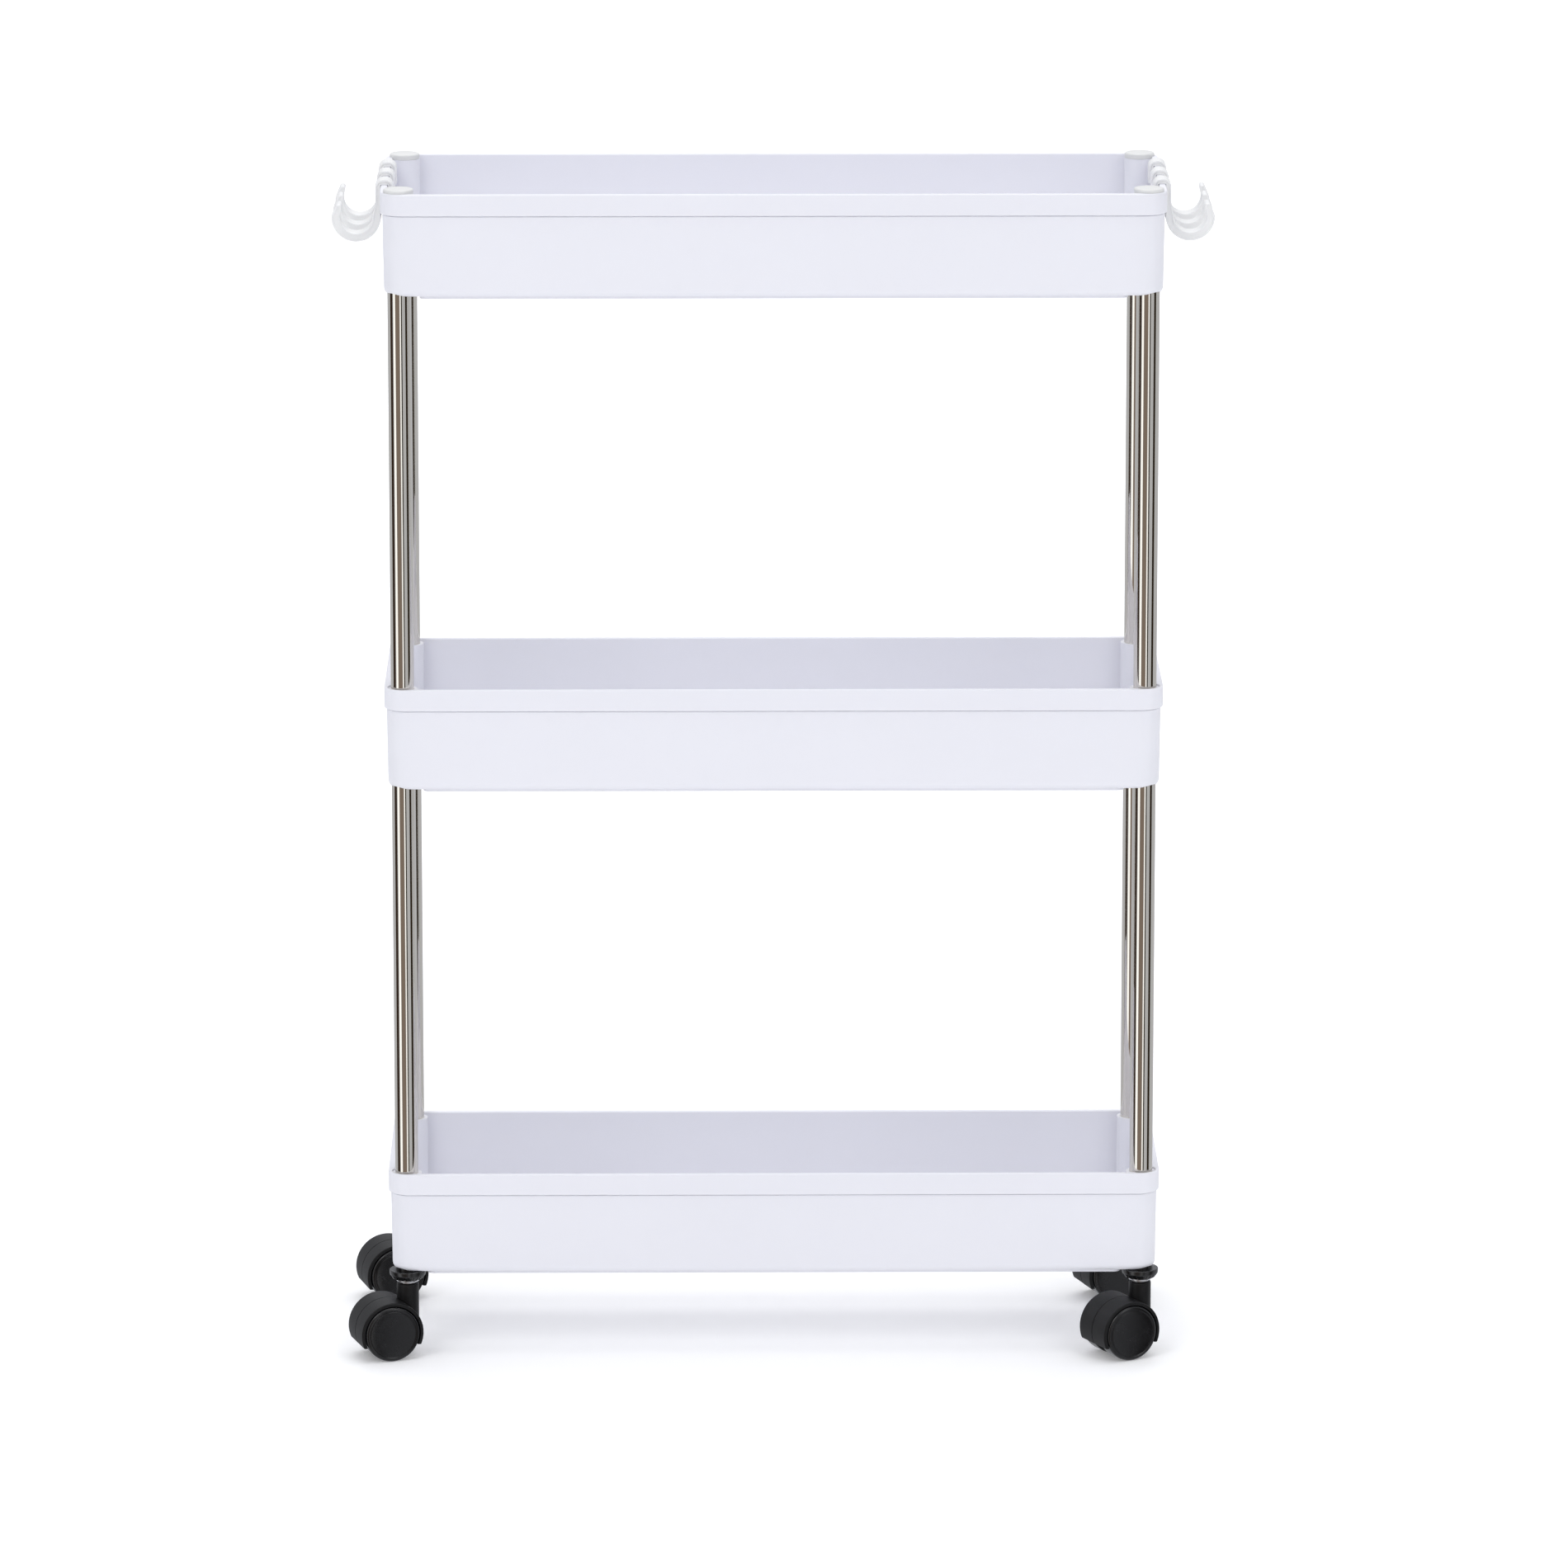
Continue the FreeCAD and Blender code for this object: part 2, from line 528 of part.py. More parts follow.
def make_hood(corner):
    """A round hood with a middle web that carries the axle, and a neck that turns on the stem."""
    name = f"hood_{corner}"
    body = new_body(name, swivel_place(corner))
    drum = new_sketch(body, f"{name}_drum_outline", "XZ_Plane")
    circle(drum, "-trail", "wheel_radius", HOOD_RADIUS)
    add(body, "Pad", f"{name}_drum", drum, f"2 * {HOOD_HALF}", SideType="Symmetric")

    seam = new_sketch(body, f"{name}_seam_section", "XZ_Plane", "-seam_width / 2")
    circle(seam, "-trail", "wheel_radius", f"({HOOD_RADIUS} + seam_depth)")
    circle(seam, "-trail", "wheel_radius", f"({HOOD_RADIUS} - seam_depth)")
    cut(body, f"{name}_seam", seam, "seam_width", Reversed=True)

    neck = new_sketch(body, f"{name}_neck_outline", lift="wheel_radius")
    circle(neck, "0", "0", "neck_radius")
    add(body, "Pad", f"{name}_neck", neck, f"{NECK_TOP} - wheel_radius")

    for face, lift, flip in (("front", HOOD_HALF, False), ("back", f"-{HOOD_HALF}", True)):
        room = new_sketch(body, f"{name}_{face}_room", "XZ_Plane", lift)
        circle(room, "-trail", "wheel_radius", ROOM_RADIUS)
        cut(body, f"{name}_{face}_wheel_room", room, f"{HOOD_HALF} - web_half", Reversed=flip)

    mouth = new_sketch(body, f"{name}_mouth_outline", "XZ_Plane")
    low = "(wheel_radius - hood_open)"
    outline(mouth, [
        (f"-trail - 2 * {HOOD_RADIUS}", f"-{HOOD_RADIUS}"),
        (f"-trail + 2 * {HOOD_RADIUS}", f"-{HOOD_RADIUS}"),
        (f"-trail + 2 * {HOOD_RADIUS}", low),
        (f"-trail - 2 * {HOOD_RADIUS}", low),
    ])
    cut(body, f"{name}_mouth", mouth, f"4 * {HOOD_HALF}", SideType="Symmetric")

    axle_hole = new_sketch(body, f"{name}_axle_hole", "XZ_Plane")
    circle(axle_hole, "-trail", "wheel_radius", "(axle_radius + grip_gap)")
    cut(body, f"{name}_axle_bore", axle_hole, "4 * web_half", SideType="Symmetric")

    stem_hole = new_sketch(body, f"{name}_stem_hole", lift=NECK_TOP)
    circle(stem_hole, "0", "0", "(stem_radius + running_gap)")
    cut(body, f"{name}_stem_bore", stem_hole, f"{NECK_TOP} - {STEM_FOOT} + neck_gap")

    top, bore = value(NECK_TOP), value("stem_radius + running_gap")
    round_edges(
        body, f"{name}_neck_round", "neck_round",
        lambda edge: lies_at(edge, top) and edge.Curve.Radius > bore + value("neck_round"),
    )
    return body


def make_axle(corner):
    """A plain steel pin through the web into both wheels."""
    name = f"axle_{corner}"
    place = at("-trail", "0", "wheel_radius", "90", "1; 0; 0")
    body = new_body(name, swivel_place(corner, place))
    sketch = new_sketch(body, f"{name}_section")
    circle(sketch, "0", "0", "axle_radius")
    add(body, "Pad", f"{name}_pin", sketch, f"2 * {AXLE_HALF}", SideType="Symmetric")
    return body


def make_wheel(name, corner, side):
    """A cupped wheel with a rounded tread edge and a slightly domed outer disc."""
    turn = f"{side} * -90"
    place = at("-trail", f"{side} * (web_half + wheel_gap)", "wheel_radius", turn, "1; 0; 0")
    body = new_body(name, swivel_place(corner, place))
    sketch = new_sketch(body, f"{name}_section", "XZ_Plane")
    bore = "(axle_radius + running_gap)"
    disc = "(wheel_width - wheel_face)"
    hole = "(axle_bite + wheel_gap)"
    flat = "(wheel_radius - wheel_edge)"
    crown = f"(({flat} ^ 2 + wheel_dome ^ 2) / (2 * wheel_dome))"
    outline(sketch, [
        (bore, "0"),
        ("wheel_hub", "0"),
        ("wheel_hub", disc),
        ("wheel_radius - wheel_rim", disc),
        ("wheel_radius - wheel_rim", "0"),
        ("wheel_radius", "0"),
        ("wheel_radius", "wheel_width - wheel_edge", "wheel_edge", "left"),
        (flat, "wheel_width", crown, "left"),
        ("0", "wheel_width + wheel_dome"),
        ("0", hole),
        (bore, hole),
    ])
    spin(body, "Revolution", f"{name}_turned", sketch)
    return body


pieces = [make_tray(level) for level in LEVELS]
for corner, (right, back) in CORNERS.items():
    pieces.append(make_post(f"post_lower_{corner}", corner, 0))
    pieces.append(make_post(f"post_upper_{corner}", corner, 1))
    pieces.append(make_cap(corner))
    pieces.append(make_socket(corner))
    pieces.append(make_stem(corner))
    pieces.append(make_grip_ring(corner))
    pieces.append(make_hood(corner))
    pieces.append(make_axle(corner))
    pieces.append(make_wheel(f"wheel_outer_{corner}", corner, back))
    pieces.append(make_wheel(f"wheel_inner_{corner}", corner, -back))
for end, right in (("left", -1), ("right", 1)):
    for order, place in (("front", -1), ("middle", 0), ("rear", 1)):
        pieces.append(make_hook(f"hook_{end}_{order}", right, place))

doc.recompute()
for item in doc.Objects:
    if "Invalid" in item.State or "Error" in item.State:
        raise ValueError(f"{item.Label} failed: {item.State}")
for piece in pieces:
    if piece.Shape.isNull() or not piece.Shape.isValid() or not piece.Shape.Solids:
        raise ValueError(f"{piece.Label} has no valid solid")

os.makedirs("parts", exist_ok=True)
for piece in pieces:
    piece.Shape.exportStep(f"parts/{piece.Label}.step")
    print(f"{piece.Label:28s} {piece.Shape.Volume:10.1f} mm3")
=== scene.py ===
"""Slim pantry cart: the finished shapes and materials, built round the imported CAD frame.

Metres, in the frame's own axes: +Z up, the long side along X, the front at -Y. Sizes in millimetres
are written as a number times MM.
"""
import json
import math

import bmesh
import bpy
from mathutils import Matrix, Vector

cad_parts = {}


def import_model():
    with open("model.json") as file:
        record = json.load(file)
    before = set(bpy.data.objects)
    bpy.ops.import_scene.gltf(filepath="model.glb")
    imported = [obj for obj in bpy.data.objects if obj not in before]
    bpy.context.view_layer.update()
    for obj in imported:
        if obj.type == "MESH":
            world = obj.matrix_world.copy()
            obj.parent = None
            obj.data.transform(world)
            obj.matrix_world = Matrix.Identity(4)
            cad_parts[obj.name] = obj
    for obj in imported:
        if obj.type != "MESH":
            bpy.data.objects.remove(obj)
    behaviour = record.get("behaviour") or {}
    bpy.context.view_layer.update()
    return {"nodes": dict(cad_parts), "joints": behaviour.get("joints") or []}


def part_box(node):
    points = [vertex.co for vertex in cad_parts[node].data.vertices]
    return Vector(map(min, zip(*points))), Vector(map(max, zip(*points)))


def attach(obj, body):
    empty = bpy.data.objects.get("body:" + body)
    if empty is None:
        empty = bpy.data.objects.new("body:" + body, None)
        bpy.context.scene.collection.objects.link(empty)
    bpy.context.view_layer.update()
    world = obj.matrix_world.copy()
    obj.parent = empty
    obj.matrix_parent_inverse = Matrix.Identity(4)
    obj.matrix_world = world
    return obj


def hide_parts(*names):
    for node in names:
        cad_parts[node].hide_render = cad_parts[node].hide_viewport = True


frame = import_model()

MM = 0.001
LEVELS = ("bottom", "middle", "top")
CORNERS = ("front_left", "front_right", "rear_left", "rear_right")
ARC_STEPS = 10
ROUND_STEPS = 96

# Tray moulding.
RIM_WALL = 3.4 * MM
BAND_HEIGHT = 11 * MM
BAND_STEP = 1.2 * MM
BAND_LINE = 0.5 * MM
WALL_LEAN = 0.5 * MM
TRAY_CORNER = 12 * MM
FOOT_ROUND = 4 * MM
FLOOR = 2.2 * MM
FLOOR_ROUND = 3 * MM
RIM_ROUND = 0.55 * MM
RIB_DROP = 2.6 * MM  # from the foot to the bottom of the node's box
RIB_WALL = 1.8 * MM
RIB_SEEN = 1.5 * MM  # how far the rib shows below the foot
RIB_INSET = 6.5 * MM
FLANGE_ROOM = 0.6 * MM
PILLAR_RADIUS = 7.8 * MM
PILLAR_DROP = 0.9 * MM
BORE_RADIUS = 6.05 * MM
SEAT_RADIUS = 7.75 * MM
POST_REACH = 20 * MM
POST_WALL = 0.6 * MM

# Hooks, measured from the outside of the rim band and the rim's top.
HOOK_GAP = 0.2 * MM
HOOK_LEAF = 2.6 * MM
HOOK_STRIP = 2.8 * MM
HOOK_LEG = 9 * MM
HOOK_BOWL = 12.6 * MM
HOOK_THICK = 4.2 * MM
HOOK_DROP = 16.7 * MM
HOOK_RISE = 6.6 * MM
HOOK_LEAN = 2.2 * MM
HOOK_TIP = 3 * MM
HOOK_BORDER = 0.8 * MM
HOOK_RECESS = 0.45 * MM
HOOK_CROWN = 4.2 * MM
HOOK_SLOT_ROUND = 0.4 * MM

# Casters.
RUNNING_FIT = 0.06 * MM
PRESS_FIT = 0.02 * MM
TRAIL = 12 * MM
WEB_HALF = 3.2 * MM
WHEEL_GAP = 0.4 * MM
WHEEL_WIDTH = 10.2 * MM
HOOD_SKIN = 1.7 * MM
HOOD_OPEN = 6.5 * MM
HOOD_LIP = 0.8 * MM
NECK_RADIUS = 5.75 * MM
STEM_RADIUS = 3.5 * MM
AXLE_RADIUS = 2 * MM
COLLAR_STEPS = ((6.0 * MM, 1.2 * MM), (4.7 * MM, 0.8 * MM))  # radius and height of each bead
SLEEVE_RADIUS = 6 * MM
SLEEVE_BORE = 3.95 * MM
FLANGE_NARROW = 6.3 * MM
FLANGE_LIP = 1.3 * MM
BOWL_TURNS = (0, 15, 30, 70, 80, 90)  # degrees round the bowl; the long step carries the ribs

# Camera: a long lens a little above the cart, looking down at it.
LENS = 226.5
CAMERA_PLACE = (-0.0363, -5.0, 1.4482)
CAMERA_PITCH = 0.2274
CAMERA_YAW = -0.0084

# Panels mirrored in the tubes: angle from the front, spread in degrees, colour, strength.
CARD_REACH = 8.0
CARD_HEIGHT = 12.0
CARDS = (
    (-82, 30, "#3c3028"), (-50, 18, "#ffffff", 1.5), (-18, 40, "#8c7e74"), (10, 8, "#ffffff", 1.5),
    (22, 10, "#30281e"), (72, 24, "#30281e"),
)


# ---------------------------------------------------------------- mesh helpers

def finished(bm, name, slot, body, replaced=(), smooth=35):
    """Turn a bmesh into a piece that rides on a body and stands for CAD nodes."""
    bmesh.ops.remove_doubles(bm, verts=bm.verts, dist=1e-7)
    bmesh.ops.recalc_face_normals(bm, faces=bm.faces)
    mesh = bpy.data.meshes.new(name)
    bm.to_mesh(mesh)
    bm.free()
    piece = bpy.data.objects.new(name, mesh)
    bpy.context.scene.collection.objects.link(piece)
    soften(piece, smooth)
    settle(piece, slot, body, replaced)


def settle(piece, slot, body, replaced):
    """Give a piece its material, its body and the nodes that it stands for."""
    piece.data.materials.clear()
    piece.data.materials.append(MATERIALS[slot])
    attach(piece, body)
    if replaced:
        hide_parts(*replaced)


def soften(piece, angle):
    """Smooth shading that keeps real edges and leaves flat faces flat."""
    piece.data.shade_smooth()
    piece.data.set_sharp_from_angle(angle=math.radians(angle))
    weighted = piece.modifiers.new("weighted", "WEIGHTED_NORMAL")
    weighted.keep_sharp = True
    weighted.weight = 100
    bake_modifiers(piece)


def bake_modifiers(piece):
    """Apply what is on the modifier stack."""
    bpy.context.view_layer.update()
    graph = bpy.context.evaluated_depsgraph_get()
    mesh = bpy.data.meshes.new_from_object(piece.evaluated_get(graph))
    piece.modifiers.clear()
    piece.data = mesh


def solid(bm):
    """A plain object from a closed bmesh, for joining and cutting."""
    bmesh.ops.remove_doubles(bm, verts=bm.verts, dist=1e-7)
    bmesh.ops.recalc_face_normals(bm, faces=bm.faces)
    mesh = bpy.data.meshes.new("tool")
    bm.to_mesh(mesh)
    bm.free()
    shape = bpy.data.objects.new("tool", mesh)
    bpy.context.scene.collection.objects.link(shape)
    return shape


def combine(base, *steps):
    """Join or cut shapes in turn: each step is an operation and the shape it uses up."""
    for operation, tool in steps:
        change = base.modifiers.new(operation, "BOOLEAN")
        change.operation = operation
        change.solver = "EXACT"
        change.object = tool
        bake_modifiers(base)
        bpy.data.objects.remove(tool)


def adopt(shape, name, slot, body, replaced=(), smooth=35):
    """Finish a joined shape as a piece."""
    shape.name = name
    shape.data.name = name
    soften(shape, smooth)
    settle(shape, slot, body, replaced)


def plate(bm, half_x, half_y, radius, height):
    """A flat face with round corners."""
    made = bmesh.ops.create_grid(bm, x_segments=1, y_segments=1, size=1)
    corners = made["verts"]
    bmesh.ops.scale(bm, vec=(half_x, half_y, 1), verts=corners)
    bmesh.ops.translate(bm, vec=(0, 0, height), verts=corners)
    bmesh.ops.bevel(bm, geom=corners, offset=radius, affect="VERTICES", segments=ARC_STEPS, profile=0.5, material=-1)
    bm.faces.ensure_lookup_table()
    return bm.faces[-1]


def raise_face(bm, face, distance):
    """Extrude a face straight along Z and return its new end."""
    made = bmesh.ops.extrude_face_region(bm, geom=[face])["geom"]
    moved = [item for item in made if isinstance(item, bmesh.types.BMVert)]
    bmesh.ops.translate(bm, vec=(0, 0, distance), verts=moved)
    return next(item for item in made if isinstance(item, bmesh.types.BMFace))


def draw_in(bm, face, steps):
    """Shrink a face and move it along its normal, step by step."""
    for inward, outward in steps:
        bmesh.ops.inset_individual(bm, faces=[face], thickness=inward, depth=outward, use_even_offset=True)


def quarter(radius, convex=True, steps=5):
    """Steps of a quarter round: over an edge, or down into a corner."""
    angles = [math.pi / 2 * step / steps for step in range(steps + 1)]
    across = [radius * (1 - math.cos(angle)) for angle in angles]
    along = [radius * math.sin(angle) for angle in angles]
    if not convex:
        across, along = along, across
    return [(across[i + 1] - across[i], along[i + 1] - along[i]) for i in range(steps)]


def arc(centre, radius, start, end, steps=ARC_STEPS):
    """Points on an arc from one angle to another, in degrees."""
    angles = [math.radians(start + (end - start) * step / steps) for step in range(steps + 1)]
    return [(centre[0] + radius * math.cos(angle), centre[1] + radius * math.sin(angle)) for angle in angles]


def rod(bm, radius, low, high, centre=(0, 0), segments=ROUND_STEPS):
    """A closed upright cylinder."""
    place = Matrix.Translation((centre[0], centre[1], (low + high) / 2))
    bmesh.ops.create_cone(
        bm, cap_ends=True, segments=segments, radius1=radius, radius2=radius, depth=high - low, matrix=place
    )


def turned(bm, section, segments=ROUND_STEPS, closed=False):
    """Spin a section of (radius, height) points about Z."""
    verts = [bm.verts.new((radius, 0, height)) for radius, height in section]
    edges = [bm.edges.new(pair) for pair in zip(verts, verts[1:])]
    if closed:
        edges.append(bm.edges.new((verts[-1], verts[0])))
    bmesh.ops.spin(
        bm, geom=verts + edges, cent=(0, 0, 0), axis=(0, 0, 1), angle=2 * math.pi, steps=segments,
        use_merge=True,
    )
    bmesh.ops.remove_doubles(bm, verts=bm.verts, dist=1e-7)


def middle(node):
    """Centre of a node's box."""
    low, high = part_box(node)
    return (low + high) / 2


# ---------------------------------------------------------------- materials

def linear(colour):
    """An sRGB hex colour as linear RGBA."""
    parts = [int(colour[i:i + 2], 16) / 255 for i in (1, 3, 5)]
    return (*[p / 12.92 if p <= 0.04045 else ((p + 0.055) / 1.055) ** 2.4 for p in parts], 1.0)


def add(tree, kind, inputs=None, **settings):
    """Add a node, set what it is given and link its inputs."""
    made = tree.nodes.new(kind)
    for key, setting in settings.items():
        setattr(made, key, setting)
    for key, given in (inputs or {}).items():
        if isinstance(given, bpy.types.NodeSocket):
            tree.links.new(given, made.inputs[key])
        else:
            made.inputs[key].default_value = given
    return made


def new_material(name, **sockets):
    """A material with one Principled shader, its constants set on the shader itself."""
    material = bpy.data.materials.new(name)
    material.use_nodes = True
    tree = material.node_tree
    tree.nodes.clear()
    shader = add(tree, "ShaderNodeBsdfPrincipled", {key.replace("_", " "): v for key, v in sockets.items()})
    add(tree, "ShaderNodeOutputMaterial", {"Surface": shader.outputs["BSDF"]})
    place = add(tree, "ShaderNodeTexCoord").outputs["Object"]
    return material, tree, shader, place


def polypropylene(name, light, dark, rough):
    """Injection-moulded white PP: satin, a little light in its depth, faint flow marks and fine grain."""
    material, tree, shader, place = new_material(
        name, IOR=1.49, Subsurface_Weight=0.12, Subsurface_Scale=3 * MM, Subsurface_Radius=(1.0, 0.95, 0.9)
    )
    flow = add(tree, "ShaderNodeTexNoise", {"Vector": place, "Scale": 1 / (90 * MM), "Detail": 3.0})
    tint = add(tree, "ShaderNodeMix", {0: flow.outputs["Fac"], 6: linear(dark), 7: linear(light)}, data_type="RGBA")
    tree.links.new(tint.outputs[2], shader.inputs["Base Color"])
    cloud = add(tree, "ShaderNodeTexNoise", {"Vector": place, "Scale": 1 / (25 * MM), "Detail": 4.0})
    gloss = add(
        tree, "ShaderNodeMapRange", {"Value": cloud.outputs["Fac"], "To Min": rough - 0.05, "To Max": rough + 0.07}
    )
    tree.links.new(gloss.outputs["Result"], shader.inputs["Roughness"])
    grain = add(tree, "ShaderNodeTexNoise", {"Vector": place, "Scale": 1 / (0.9 * MM), "Detail": 2.0})
    sink = add(tree, "ShaderNodeTexNoise", {"Vector": place, "Scale": 1 / (40 * MM), "Detail": 1.0})
    waves = add(tree, "ShaderNodeBump", {"Height": sink.outputs["Fac"], "Strength": 0.25, "Distance": 0.6 * MM})
    fine = add(
        tree, "ShaderNodeBump",
        {"Height": grain.outputs["Fac"], "Strength": 0.12, "Distance": 0.05 * MM, "Normal": waves.outputs["Normal"]},
    )
    tree.links.new(fine.outputs["Normal"], shader.inputs["Normal"])
    return material


def black_nylon(name, colour, worn, rough, grit, shine):
    """Moulded black nylon: spark-eroded grain from the mould, and a dusty scuff here and there."""
    material, tree, shader, place = new_material(name, IOR=1.53, Specular_IOR_Level=shine)
    dust = add(tree, "ShaderNodeTexNoise", {"Vector": place, "Scale": 1 / (9 * MM), "Detail": 6.0, "Roughness": 0.65})
    scuff = add(tree, "ShaderNodeMapRange", {"Value": dust.outputs["Fac"], "From Min": 0.5, "From Max": 0.8})
    tint = add(
        tree, "ShaderNodeMix", {0: scuff.outputs["Result"], 6: linear(colour), 7: linear(worn)}, data_type="RGBA"
    )
    tree.links.new(tint.outputs[2], shader.inputs["Base Color"])
    gloss = add(
        tree, "ShaderNodeMapRange", {"Value": dust.outputs["Fac"], "To Min": rough - 0.06, "To Max": rough + 0.1}
    )
    tree.links.new(gloss.outputs["Result"], shader.inputs["Roughness"])
    grain = add(tree, "ShaderNodeTexNoise", {"Vector": place, "Scale": 1 / (grit * MM), "Detail": 2.0})
    bump = add(tree, "ShaderNodeBump", {"Height": grain.outputs["Fac"], "Strength": 0.35, "Distance": 0.06 * MM})
    tree.links.new(bump.outputs["Normal"], shader.inputs["Normal"])
    return material


def drawn_steel(name, colour, stain, rough, streak, spread=0.1):
    """Polished or drawn steel: bright, with hair-fine lines along its length and slight smears."""
    material, tree, shader, place = new_material(name, Metallic=1.0)
    smear = add(tree, "ShaderNodeTexNoise", {"Vector": place, "Scale": 1 / (30 * MM), "Detail": 4.0})
    tint = add(tree, "ShaderNodeMix", {0: smear.outputs["Fac"], 6: linear(stain), 7: linear(colour)}, data_type="RGBA")
    tree.links.new(tint.outputs[2], shader.inputs["Base Color"])
    along = add(tree, "ShaderNodeMapping", {"Vector": place, "Scale": (1, 1, streak)})
    lines = add(tree, "ShaderNodeTexNoise", {"Vector": along.outputs["Vector"], "Scale": 1 / (0.5 * MM), "Detail": 3.0})
    gloss = add(tree, "ShaderNodeMapRange", {"Value": lines.outputs["Fac"], "To Min": rough, "To Max": rough + spread})
    tree.links.new(gloss.outputs["Result"], shader.inputs["Roughness"])
    return material


MATERIALS = {
    # White with a faint violet cast and a broad, soft sheen.
    "tray_plastic": polypropylene("moulded polypropylene, cool white", "#eeeef4", "#ebebf1", 0.4),
    # Neutral whites, so that the caps and hooks part from the cooler trays.
    "cap_plastic": polypropylene("moulded polypropylene, cap white", "#e3e3e1", "#dededc", 0.42),
    "hook_plastic": polypropylene("moulded polypropylene, hook white", "#f1f1f0", "#ededec", 0.4),
    # Almost a mirror: crisp upright stripes of light and dark.
    "tube_steel": drawn_steel("polished stainless tube", "#dedad2", "#d6d2ca", 0.03, 0.004, 0.03),
    # A softer silver ring below each flange.
    "plated_steel": drawn_steel("bright zinc plate", "#f2f3f5", "#e8e9ec", 0.3, 1.0),
    # Grey wire and dark spring, hardly seen.
    "axle_steel": drawn_steel("drawn steel wire", "#b8b8ba", "#a4a4a8", 0.22, 0.05),
    "spring_steel": drawn_steel("blued spring steel", "#70747c", "#5c6068", 0.25, 1.0),
    # Glossy black bush, matt black hood, and a wheel between the two.
    "socket_nylon": black_nylon("moulded nylon, bush black", "#101011", "#1c1c1e", 0.24, 0.5, 0.6),
    "hood_nylon": black_nylon("moulded nylon, hood black", "#101011", "#1a1a1b", 0.46, 0.35, 0.28),
    "wheel_nylon": black_nylon("moulded nylon, wheel black", "#0c0c0e", "#171719", 0.24, 0.4, 0.45),
}


# ---------------------------------------------------------------- trays

def tray(level):
    """One tub moulding: rim band, leaning wall, round foot, corner pillars and rib ring."""
    node = f"tray_{level}"
    low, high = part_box(node)
    half_x, half_y = high.x, high.y
    base = low.z + RIB_DROP
    top = high.z
    posts = [middle(f"post_lower_{corner}") for corner in CORNERS]

    bm = bmesh.new()
    band = plate(bm, half_x, half_y, TRAY_CORNER, top - BAND_HEIGHT + RIM_ROUND)
    rim = raise_face(bm, band, BAND_HEIGHT - 2 * RIM_ROUND)
    bmesh.ops.recalc_face_normals(bm, faces=bm.faces)
    under = min(bm.faces, key=lambda face: face.calc_center_median().z)
    draw_in(bm, rim, quarter(RIM_ROUND))
    wall_drop = top - BAND_HEIGHT - base - FOOT_ROUND
    draw_in(bm, under, quarter(RIM_ROUND))
    draw_in(bm, under, [(BAND_STEP - RIM_ROUND + BAND_LINE, 0), (0, BAND_LINE), (-BAND_LINE, 0)])
    draw_in(bm, under, [(WALL_LEAN, wall_drop - BAND_LINE)])
    draw_in(bm, under, quarter(FOOT_ROUND, steps=8))
    outer = solid(bm)

    bm = bmesh.new()
    inset = RIM_WALL - RIM_ROUND
    mouth = plate(bm, half_x - inset, half_y - inset, TRAY_CORNER - inset, top)
    raise_face(bm, mouth, 10 * MM)
    bmesh.ops.recalc_face_normals(bm, faces=bm.faces)
    under = min(bm.faces, key=lambda face: face.calc_center_median().z)
    draw_in(bm, under, quarter(RIM_ROUND, convex=False))
    draw_in(bm, under, [(0, top - base - FLOOR - FLOOR_ROUND - RIM_ROUND)])
    draw_in(bm, under, quarter(FLOOR_ROUND, steps=6))
    well = solid(bm)

    pillars = bmesh.new()
    seats = bmesh.new()
    bores = bmesh.new()
    pillar_top = top - PILLAR_DROP
    for post in posts:
        rod(pillars, PILLAR_RADIUS, base, pillar_top, post)
        rod(seats, SEAT_RADIUS, pillar_top, top + MM, post)
        rod(bores, BORE_RADIUS, pillar_top - 24 * MM, top, post)
        rod(bores, BORE_RADIUS, base - MM, base + POST_REACH, post)
    combine(well, ("DIFFERENCE", solid(pillars)))

    rib_x, rib_y = rib_reach(level)
    bm = bmesh.new()
    ring = plate(bm, rib_x, rib_y, 2 * RIB_WALL, base - RIB_SEEN)
    raise_face(bm, ring, RIB_SEEN + FLOOR / 2)
    rib = solid(bm)
    bm = bmesh.new()
    ring = plate(bm, rib_x - RIB_WALL, rib_y - RIB_WALL, RIB_WALL, base - RIB_SEEN - MM)
    raise_face(bm, ring, RIB_SEEN + MM)
    combine(rib, ("DIFFERENCE", solid(bm)))
    combine(
        outer, ("DIFFERENCE", well), ("UNION", rib), ("DIFFERENCE", solid(seats)), ("DIFFERENCE", solid(bores)),
    )
    adopt(outer, f"{node}_moulding", "tray_plastic", "frame", [node], smooth=32)


def rib_reach(level):
    """Half length and half depth of the rib ring under a tray, clear of the casters' flanges."""
    flange_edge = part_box("socket_rear_right")[0].x
    return flange_edge - FLANGE_ROOM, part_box(f"tray_{level}")[1].y - RIB_INSET


# ---------------------------------------------------------------- posts and caps

def post(node):
    """A thin polished tube, with its cut ends dressed."""
    low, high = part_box(node)
    centre = (low + high) / 2
    radius = (high.x - low.x) / 2
    dressed = 0.15 * MM
    bm = bmesh.new()
    turned(bm, [
        (radius - POST_WALL, low.z), (radius - dressed, low.z), (radius, low.z + dressed),
        (radius, high.z - dressed), (radius - dressed, high.z), (radius - POST_WALL, high.z),
    ], closed=True)
    bmesh.ops.translate(bm, vec=(centre.x, centre.y, 0), verts=bm.verts)
    finished(bm, f"{node}_tube", "tube_steel", "frame", [node])


